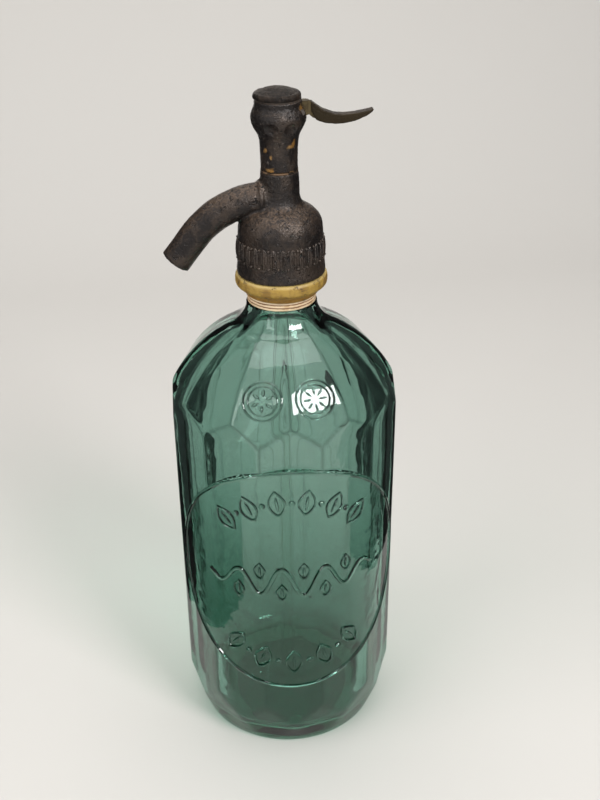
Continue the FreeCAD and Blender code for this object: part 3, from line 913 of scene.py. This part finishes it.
def placeOnShoulder(piece, azimuth):
    # lays a flat piece, drawn in X and Z, on the curved panel of the shoulder
    centreX, centreZ = bottle["shoulderCentre"]
    arc = bottle["shoulderArc"]
    middle = asin((relief["emblemHeight"] - centreZ) / arc)
    turn = radians(azimuth)
    for vertex in piece.data.vertices:
        across, proud, along = vertex.co.x / mm, -vertex.co.y / mm, vertex.co.z / mm
        angle = middle + along / arc
        reach = centreX + (arc + proud) * cos(angle)
        height = centreZ + (arc + proud) * sin(angle)
        vertex.co.x = (reach * cos(turn) - across * sin(turn)) * mm
        vertex.co.y = (reach * sin(turn) + across * cos(turn)) * mm
        vertex.co.z = height * mm


def emblem(azimuth, petals):
    # two rings round a rosette of plain petals
    outer, inner = relief["emblemLines"]
    wide, tall, proud = relief["petal"]
    pieces = [addRing(relief["emblemRadius"], outer), addRing(relief["emblemInner"], inner)]
    for index in range(petals):
        turn = 360.0 * index / petals
        angle = radians(turn)
        place = (relief["petalReach"] * sin(angle), relief["petalReach"] * cos(angle))
        pieces.append(addPetal(wide / petals, tall, proud, place, turn))
    whole = joinPieces("emblem", pieces)
    placeOnShoulder(whole, azimuth)
    return whole


hollow = {
    "floor": [(3.0, 9.0), (38.3, 9.0)],
    "corner": ((38.3, 18.0), 9.0, -80, 0, 6),  # arcs: centre, radius, from, to, steps
    "side": [(47.3, 60.0), (47.3, 120.0), (47.3, 182.0)],
    "shoulder": ((-6.05, 165.8), 55.9, 20.0, 60.0, 10),
    "neckCurve": ((34.8, 236.5), 25.8, 238.0, 182.0, 8),
    "neck": [(9.0, 240.0), (9.0, 257.0)],
    "bubbleReach": 50.6,
    "bubbles": [
        (-84.0, 100.0, 0.75), (-101.0, 118.0, 0.6), (-70.0, 150.0, 0.5), (-125.0, 80.0, 0.6),
        (-60.0, 62.0, 0.7), (40.0, 120.0, 0.7), (95.0, 70.0, 0.8), (150.0, 140.0, 0.6),
    ],
}


def makeHollow():
    # the inside of the bottle, and the few bubbles in its wall
    rings = hollow["floor"] + arcRings(*hollow["corner"]) + hollow["side"]
    rings += arcRings(*hollow["shoulder"]) + arcRings(*hollow["neckCurve"]) + hollow["neck"]
    pieces = [stackRings("bottleHollow", rings, 96, radians(bottle["firstRib"]))]
    for azimuth, z, radius in hollow["bubbles"]:
        bubble = addShape(bpy.ops.mesh.primitive_ico_sphere_add, "bubble", subdivisions=2, radius=radius * mm,
                          location=roundAxis(azimuth, hollow["bubbleReach"], z))
        pieces.append(bubble)
    return joinPieces("hollow", pieces)


def makeBottle():
    piece = makeBottleShell()
    patch = medallionPatch()
    ornament = joinPieces("ornament", medallionOrnament())
    for part in (patch, ornament):
        wrapRound(part, relief["skin"], relief["medallionAzimuth"])
        for vertex in part.data.vertices:
            vertex.co.z += relief["medallionHeight"] * mm
    combine(piece, patch, "UNION")
    emblems = [emblem(azimuth, petals) for azimuth, petals in relief["emblems"]]
    combine(piece, joinPieces("raisedRelief", [ornament] + emblems), "UNION")
    combine(piece, makeHollow(), "DIFFERENCE")
    smoothLook(piece, bottle["smoothAngle"])
    markPaintedCreaseShade(piece)
    dress(piece, "siphon", "green_glass", "glass_bottle")
    print("bottle done, triangles:", sum(len(face.vertices) - 2 for face in piece.data.polygons))


makeBottle()


# metal pieces: turned or swept, joined, then remeshed so that every joint gets a cast fillet

def roughen(piece, lumps):
    # lumps of a hand-finished casting, each (size, strength)
    for size, strength in lumps:
        texture = bpy.data.textures.new("castLumps", "CLOUDS")
        texture.noise_scale = size * mm
        texture.noise_depth = 2
        applyModifier(piece, "DISPLACE", texture=texture, strength=strength * mm, mid_level=0.5,
                      texture_coords="LOCAL")


def castFinish(piece, voxel, smoothing):
    applyModifier(piece, "REMESH", mode="VOXEL", voxel_size=voxel * mm, use_smooth_shade=True)
    applyModifier(piece, "SMOOTH", factor=0.5, iterations=smoothing)


def drillRound(piece, radius, low, high):
    combine(piece, stackRings("drill", [(radius, low), (radius, high)], 64), "DIFFERENCE")


# head casting: skirt, dome and lower stem, with the spout growing out of them

head = {
    "profile": [
        (18.3, 246.5), (19.6, 246.5), (20.0, 246.9), (19.95, 248.4), (19.75, 249.6), (19.6, 251.0),
        (19.4, 255.0), (19.15, 259.0), (19.0, 262.5), (19.0, 266.0), (18.85, 268.0), (18.3, 270.3),
        (17.4, 272.3), (16.1, 273.9), (14.6, 275.2), (13.2, 276.1), (11.9, 276.8), (10.6, 277.7), (9.7, 278.9),
        (9.1, 280.4), (8.8, 282.0), (8.65, 285.0), (8.5, 289.0), (8.3, 292.4), (8.0, 292.75),
    ],
    "bores": [(18.05, 240.0, 252.6), (15.9, 250.0, 261.6), (5.3, 258.0, 300.0)],  # radius, from, to
    "reliefHeight": 258.2,
    "reliefMotifs": 28,
    "reliefRadius": 19.2,
    "reliefAzimuth": -93.0,
    "skirtLean": 0.045,
    "motifTall": 9.6,
    "motifWide": 3.3,
    "motifProud": 0.95,
    "motifPinch": 0.45,
    "bead": (1.3, 0.8),
    "beadShare": 0.42,
    "spoutRoot": 7.3,
    "spoutEnd": 6.75,
    "spoutStart": -1.0,
    "spoutRun": 5.5,
    "spoutBend": 41.2,
    "spoutTurn": 52.0,
    "spoutSteps": 14,
    "spoutStraight": 14.6,
    "spoutHeight": 280.6,
    "solder": (7.1, 1.15, -8.6),  # ring radius, thickness, x
    "waterWay": 4.65,
    "waterWayPast": 3.0,
    "voxel": 0.5,
    "lumps": ((5.0, 0.35), (1.6, 0.16)),
}


def spoutPath(past=0.0):
    run, bend, height = head["spoutRun"], head["spoutBend"], head["spoutHeight"]
    path = [(head["spoutStart"], height, 0.0), (-run, height, 0.0)]
    for step in range(1, head["spoutSteps"] + 1):
        tilt = head["spoutTurn"] * step / head["spoutSteps"]
        angle = radians(tilt)
        path.append((-run - bend * sin(angle), height - bend * (1 - cos(angle)), tilt))
    x, z, tilt = path[-1]
    for length in (head["spoutStraight"] * 0.5, head["spoutStraight"] + past):
        path.append((x - length * cos(angle), z - length * sin(angle), tilt))
    return path


def skirtMotif(index):
    # a solid leaf with a sharp rib, and two beads beside its tips
    height, wide, tall = head["reliefHeight"], head["motifWide"], head["motifTall"]
    leaf = addPetal(wide, tall, head["motifProud"], (0, height))
    for vertex in leaf.data.vertices:
        share = min(abs(vertex.co.x) / (wide / 2 * mm), 1.0)
        vertex.co.y *= 1.0 - head["motifPinch"] * sin(pi * min(share * 1.6, 1.0))
    pitch = pi * 2 * head["reliefRadius"] / head["reliefMotifs"]
    size, proud = head["bead"]
    drop = tall * head["beadShare"]
    beads = [addPetal(size, size, proud, (pitch / 2, height + side * drop)) for side in (-1, 1)]
    motif = joinPieces("leafMotif", [leaf] + beads)
    for vertex in motif.data.vertices:
        vertex.co.y -= (height * mm - vertex.co.z) * head["skirtLean"]
    wrapRound(motif, head["reliefRadius"], 360.0 * index / head["reliefMotifs"] + head["reliefAzimuth"])
    return motif


def makeHead():
    piece = stackRings("headCasting", head["profile"], 96)
    spout = sweepTube("spoutTube", head["spoutRoot"], head["spoutEnd"], spoutPath())
    skirtRelief = joinPieces("skirtRelief", [skirtMotif(index) for index in range(head["reliefMotifs"])])
    radius, thick, x = head["solder"]
    solder = addShape(
        bpy.ops.mesh.primitive_torus_add, "solderRing", major_segments=64, minor_segments=12,
        major_radius=radius * mm, minor_radius=thick * mm, location=(x * mm, 0, head["spoutHeight"] * mm),
        rotation=(0, pi / 2, 0),
    )
    piece = joinPieces("headCasting", [piece, spout, solder])
    castFinish(piece, head["voxel"], 1)
    for radius, low, high in head["bores"]:
        drillRound(piece, radius, low, high)
    waterWay = sweepTube("waterWay", head["waterWay"], head["waterWay"], spoutPath(head["waterWayPast"]), 32)
    combine(piece, waterWay, "DIFFERENCE")
    castFinish(piece, head["voxel"], 1)
    roughen(piece, head["lumps"])
    smoothLook(skirtRelief, 40)
    piece = joinPieces("headCasting", [piece, skirtRelief])
    dress(piece, "siphon", "aged_pewter", "head_casting")


# upper housing, with its knob of soft hollows and the lever's slot

housing = {
    "profile": [
        (5.95, 289.2), (5.95, 293.4), (7.8, 293.45), (8.0, 293.8), (8.05, 297.0), (8.1, 300.0), (8.2, 303.5),
        (8.4, 306.0), (8.9, 308.2), (9.8, 310.1), (10.9, 311.9), (11.65, 313.7), (11.9, 315.4), (11.75, 316.9),
        (11.3, 318.3), (10.75, 319.4), (10.35, 320.4), (10.15, 321.3), (10.2, 322.6), (10.1, 323.2),
    ],
    "bores": [(4.7, 280.0, 310.0), (6.5, 309.0, 330.0)],
    "hollows": 8,
    "hollowRadius": 5.2,
    "hollowReach": 14.7,
    "hollowHeight": 311.2,
    "slotSize": (10, 4.6, 12),
    "slotPlace": (9, 0, 320.4),
    "voxel": 0.34,
    "lumps": ((4.0, 0.28), (1.2, 0.12)),
}


def makeHousing():
    piece = stackRings("valveHousing", housing["profile"], 96)
    for index in range(housing["hollows"]):
        azimuth = 360.0 * (index + 0.5) / housing["hollows"]
        ball = addShape(bpy.ops.mesh.primitive_ico_sphere_add, "hollowBall", subdivisions=3,
                        radius=housing["hollowRadius"] * mm,
                        location=roundAxis(azimuth, housing["hollowReach"], housing["hollowHeight"]))
        combine(piece, ball, "DIFFERENCE")
    for radius, low, high in housing["bores"]:
        drillRound(piece, radius, low, high)
    cutter = addShape(bpy.ops.mesh.primitive_cube_add, "slotCutter", housing["slotSize"], size=mm,
                      location=inMetres(housing["slotPlace"]))
    combine(piece, cutter, "DIFFERENCE")
    castFinish(piece, housing["voxel"], 1)
    roughen(piece, housing["lumps"])
    dress(piece, "siphon", "aged_pewter", "valve_housing", crustedMetal)


# screw cap, worn, dented and a little off centre

cap = {
    "profile": [
        (4.4, 323.75), (9.9, 323.75), (10.2, 324.05), (10.25, 324.9), (10.0, 325.6), (9.45, 326.1),
        (8.9, 326.2), (8.5, 326.15), (7.9, 326.5), (6.2, 327.25), (4.0, 327.9), (2.0, 328.2), (0.0, 328.25),
    ],
    "bore": (4.2, 320.0, 326.2),
    "wornAbove": 325.0,
    "crease": {"depth": 0.45, "slope": 0.12, "shift": 1.5, "half": 0.9, "reach": 8.5},
    "dent": {"depth": 0.5, "place": (-3.0, -3.5), "reach": 4.0},
    "voxel": 0.32,
    "offCentre": 0.9,
    "lean": -0.25,
    "lumps": ((5.0, 0.45), (1.3, 0.14)),
}


def makeCap():
    crease, dent = cap["crease"], cap["dent"]
    piece = stackRings("screwCap", cap["profile"], 96)
    drillRound(piece, *cap["bore"])
    castFinish(piece, cap["voxel"], 1)
    for vertex in piece.data.vertices:
        x, y, z = (value / mm for value in vertex.co)
        if z > cap["wornAbove"]:
            away = abs(y - crease["shift"] - crease["slope"] * x) / crease["half"]
            line = max(0.0, 1.0 - away) * max(0.0, 1.0 - hypot(x, y) / crease["reach"])
            away = hypot(x - dent["place"][0], y - dent["place"][1]) / dent["reach"]
            vertex.co.z -= (crease["depth"] * line + dent["depth"] * max(0.0, 1.0 - away) ** 2) * mm
    piece.location.x = cap["offCentre"] * mm
    piece.rotation_euler.y = radians(cap["lean"])
    placeInMesh(piece)
    roughen(piece, cap["lumps"])
    dress(piece, "siphon", "aged_pewter", "screw_cap", capMetal)


# collar and split ring

collar = {
    "profile": [
        (15.85, 236.8), (16.3, 236.8), (16.7, 237.2), (17.3, 238.2), (18.3, 239.4), (19.5, 240.4),
        (20.5, 241.2), (20.85, 242.0), (20.9, 243.6), (20.8, 245.0), (20.55, 245.5), (20.3, 245.65),
        (20.2, 246.2), (19.9, 246.4), (18.0, 246.4), (18.0, 252.0), (16.7, 252.0), (16.7, 246.1),
        (15.85, 246.0),
    ],
    "lumps": ((6.0, 0.22), (1.0, 0.08)),
    "smoothAngle": 50,
}


def makeCollar():
    rings = collar["profile"] + [collar["profile"][0]]
    piece = stackRings("threadedCollar", rings, 160, closed=True)
    applyModifier(piece, "SUBSURF", levels=1, render_levels=1)
    roughen(piece, collar["lumps"])
    smoothLook(piece, collar["smoothAngle"])
    dress(piece, "siphon", "yellow_collar", "threaded_collar")


splitRing = {
    "profile": [
        (13.15, 232.7), (15.3, 232.7), (15.65, 233.0), (15.7, 233.8), (15.35, 234.0), (15.35, 234.3),
        (15.7, 234.5), (15.65, 235.2), (15.3, 235.4), (15.3, 235.7), (15.65, 235.9), (15.6, 237.2),
        (15.6, 245.9), (16.5, 246.1), (16.5, 249.3), (13.15, 249.3),
    ],
    "halves": (("splitRingFront", "split_ring_front", -1), ("splitRingBack", "split_ring_back", 1)),
    "halfGap": 0.15,
    "cutterSize": 60,
    "cutterHeight": 240,
    "lumps": ((3.0, 0.16),),
    "smoothAngle": 35,
}


def makeSplitRings():
    rings = splitRing["profile"] + [splitRing["profile"][0]]
    cutterSize = splitRing["cutterSize"]
    for name, node, side in splitRing["halves"]:
        piece = stackRings(name, rings, 128, closed=True)
        place = (0, -side * (cutterSize / 2 - splitRing["halfGap"]), splitRing["cutterHeight"])
        cutter = addShape(bpy.ops.mesh.primitive_cube_add, "ringCutter", size=cutterSize * mm,
                          location=inMetres(place))
        combine(piece, cutter, "DIFFERENCE")
        roughen(piece, splitRing["lumps"])
        smoothLook(piece, splitRing["smoothAngle"])
        dress(piece, "siphon", "cream_ring", node)


# valve spring, wound to fill its part; in the real siphon it shortens against its bush as the valve rises

spring = {
    "wire": 0.55,
    "radius": 3.7,
    "turns": 6,
    "steps": 28,
    "lift": 2.56,
}


def makeSpring():
    low, high = (value[2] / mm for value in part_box("valve_spring"))
    piece = addShape(
        bpy.ops.mesh.primitive_circle_add, "valveSpring", vertices=10, radius=spring["wire"] * mm,
        rotation=(pi / 2, 0, 0), location=(spring["radius"] * mm, 0, (low + spring["wire"]) * mm),
    )
    pitch = (high - low - 2 * spring["wire"]) / spring["turns"]
    applyModifier(piece, "SCREW", axis="Z", angle=2 * pi, iterations=spring["turns"],
                  steps=spring["steps"], render_steps=spring["steps"], screw_offset=pitch * mm)
    editAll()
    bpy.ops.mesh.fill_holes(sides=0)
    turnOutwards()
    smoothLook(piece, 50)
    dress(piece, "siphon", "spring_steel", "valve_spring")
    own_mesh(piece)


# thumb piece, cast on the lever bar, with a sunk panel on each side

thumb = {
    "outline": [
        (12.1, 317.4), (11.85, 319.2), (11.85, 321.4), (12.4, 323.2), (13.6, 324.1), (15.0, 323.5),
        (16.8, 322.0), (19.8, 319.8), (24.1, 318.2), (28.3, 317.8), (32.6, 318.1), (36.9, 318.8), (40.6, 319.7),
        (42.1, 319.2), (42.5, 317.4), (41.4, 315.2), (38.0, 313.1), (32.8, 311.2), (28.4, 310.4), (24.1, 310.2),
        (19.6, 310.8), (16.6, 311.7), (14.4, 312.8), (13.1, 315.2),
    ],
    "halfWidth": 4.15,
    "rim": 0.95,
    "panelSlope": 0.3,
    "panelDepth": 0.9,
    "panelMargin": 0.25,
    "edgeWidth": 0.35,
    "voxel": 0.28,
    "widest": 22.0,
    "halfLength": 20.0,
    "narrowing": (0.55, 0.18),  # towards the root, towards the tip
    "lumps": ((3.5, 0.25), (1.0, 0.10)),
}


def makeThumb():
    outline, half = thumb["outline"], thumb["halfWidth"]
    piece = addShape(bpy.ops.mesh.primitive_circle_add, "thumbPiece", vertices=len(outline), radius=10 * mm,
                     fill_type="NGON", rotation=(pi / 2, 0, 0))
    for vertex, (x, z) in zip(piece.data.vertices, outline):
        vertex.co = (x * mm, -half * mm, z * mm)
    thicken(2 * half)
    for side in (-1, 1):
        setMode("OBJECT")
        for face in piece.data.polygons:
            face.select = face.normal.y * side > 0.9 and abs(face.center.y) > mm
        setMode("EDIT")
        bpy.ops.mesh.inset(thickness=thumb["rim"] * mm, depth=0)
        bpy.ops.mesh.inset(thickness=thumb["panelSlope"] * mm, depth=-thumb["panelDepth"] * mm)
    setMode("OBJECT")
    applyModifier(piece, "BEVEL", width=thumb["edgeWidth"] * mm, segments=2, limit_method="ANGLE",
                  angle_limit=radians(35))
    applyModifier(piece, "TRIANGULATE")
    castFinish(piece, thumb["voxel"], 2)
    panel = piece.data.attributes.new("panel", "FLOAT", "POINT")
    panelSide = (half - thumb["panelDepth"] + thumb["panelMargin"]) * mm
    for vertex in piece.data.vertices:
        sunk = abs(vertex.normal.y) > 0.75 and abs(vertex.co.y) < panelSide
        panel.data[vertex.index].value = 1.0 if sunk else 0.0
        # seen from above the piece is a leaf: narrower at its root and at its tip
        along = (vertex.co.x / mm - thumb["widest"]) / thumb["halfLength"]
        vertex.co.y *= 1.0 - thumb["narrowing"][0 if along < 0 else 1] * along ** 2
    roughen(piece, thumb["lumps"])
    dress(piece, "lever", "dark_lever", "thumb_piece")


for makePiece in (makeHead, makeHousing, makeCap, makeCollar, makeSplitRings, makeThumb, makeSpring):
    makePiece()
    print(makePiece.__name__, "done")


# camera, light and backdrop

view = {
    "position": (-48.5, -461.6, 440.5),
    "pitch": 29.414,
    "heading": 6.973,
    "roll": -0.585,
    "lens": 49.86,
    "sensor": 36,
    "nearest": 10,
}


def makeCamera():
    bpy.ops.object.camera_add(location=inMetres(view["position"]))
    camera = bpy.context.object
    camera.name = "photoCamera"
    camera.data.lens = view["lens"]
    camera.data.sensor_width = view["sensor"]
    camera.data.clip_start = view["nearest"] * mm
    turn = Matrix.Rotation(radians(-view["heading"]), 3, "Z")
    lean = Matrix.Rotation(radians(90 - view["pitch"]), 3, "X")
    roll = Matrix.Rotation(radians(view["roll"]), 3, "Z")
    camera.rotation_euler = (turn @ lean @ roll).to_euler()
    bpy.context.scene.camera = camera


stage = {
    "colour": (0.62, 0.60, 0.57, 1),
    "roughness": 0.9,
    "backdropY": 900.0,
    "halfWidth": 3000.0,
    "sweep": 350.0,
}


def makeMatte(name, values):
    material, tree, shader, output = newMaterial(name)
    feed(tree, shader.inputs, {"Base Color": values["colour"], "Roughness": values["roughness"]})
    return material


def makeStage():
    side = 2 * stage["halfWidth"]
    floor = addShape(bpy.ops.mesh.primitive_plane_add, "floor", size=side * mm, location=(0, 0, 0))
    setMode("EDIT")
    bpy.ops.mesh.select_all(action="DESELECT")
    setMode("OBJECT")
    for edge in floor.data.edges:
        edge.select = all(floor.data.vertices[index].co.y > 0 for index in edge.vertices)
    setMode("EDIT")
    extrudeEdges(0, side)
    setMode("OBJECT")
    for vertex in floor.data.vertices:
        if vertex.co.y > 0:
            vertex.co.y = stage["backdropY"] * mm
    applyModifier(floor, "BEVEL", width=stage["sweep"] * mm, segments=16, limit_method="ANGLE")
    smoothLook(floor, 60)
    paint(floor, makeMatte("stageMatte", stage))


cards = {
    "places": (("leftCard", (-120, 120, 215)), ("rightCard", (162, 120, 215))),
    "size": (420, 480),
    "colour": (0.035, 0.035, 0.037, 1),
    "roughness": 0.9,
}


def makeCards():
    # out of the camera's sight: the glass and the metal see them, so their edges turn dark
    material = makeMatte("cardBlack", cards)
    for name, place in cards["places"]:
        card = addShape(bpy.ops.mesh.primitive_plane_add, name, (*cards["size"], 1), size=mm,
                        rotation=(0, pi / 2, 0), location=inMetres(place))
        paint(card, material)
        card.visible_camera = False
        card.visible_shadow = False
        card.visible_diffuse = False


lights = {
    "target": (0, 0, 160),
    "lamps": [
        {"name": "windowLight", "place": (490, -740, 900), "size": 340, "power": 9.0},
        {"name": "roomLight", "place": (-900, -500, 700), "size": 900, "power": 8.0},
        {"name": "topLight", "place": (0, 200, 1300), "size": 1000, "power": 7.0},
    ],
}


def makeLights():
    target = Vector(lights["target"]) * mm
    for entry in lights["lamps"]:
        place = Vector(entry["place"]) * mm
        bpy.ops.object.light_add(type="AREA", location=place)
        lamp = bpy.context.object
        lamp.name = entry["name"]
        lamp.data.size = entry["size"] * mm
        lamp.data.energy = entry["power"]
        lamp.rotation_euler = (target - place).to_track_quat("-Z", "Y").to_euler()


room = {
    "colour": (0.80, 0.79, 0.78, 1),
    "lighting": 0.42,
    "seen": 0.80,
}


def makeRoom():
    # the world lights the object softly and is brighter where it is seen, mirrored or looked through
    world = bpy.data.worlds.new("softRoom")
    bpy.context.scene.world = world
    world.use_nodes = True
    tree = world.node_tree
    background = tree.nodes["Background"]
    path = addNode(tree, "LightPath", {}).outputs
    seen = mathNode(tree, "MAXIMUM", path["Is Camera Ray"], path["Is Transmission Ray"])
    seen = mathNode(tree, "MAXIMUM", seen, path["Is Glossy Ray"])
    strength = spreadNode(tree, seen, (0.0, 1.0), (room["lighting"], room["seen"]))
    feed(tree, background.inputs, {"Color": room["colour"], "Strength": strength})
    bpy.context.scene.view_settings.view_transform = "Standard"


makeCamera()
makeStage()
makeCards()
makeLights()
makeRoom()
print("camera, stage and lights done")
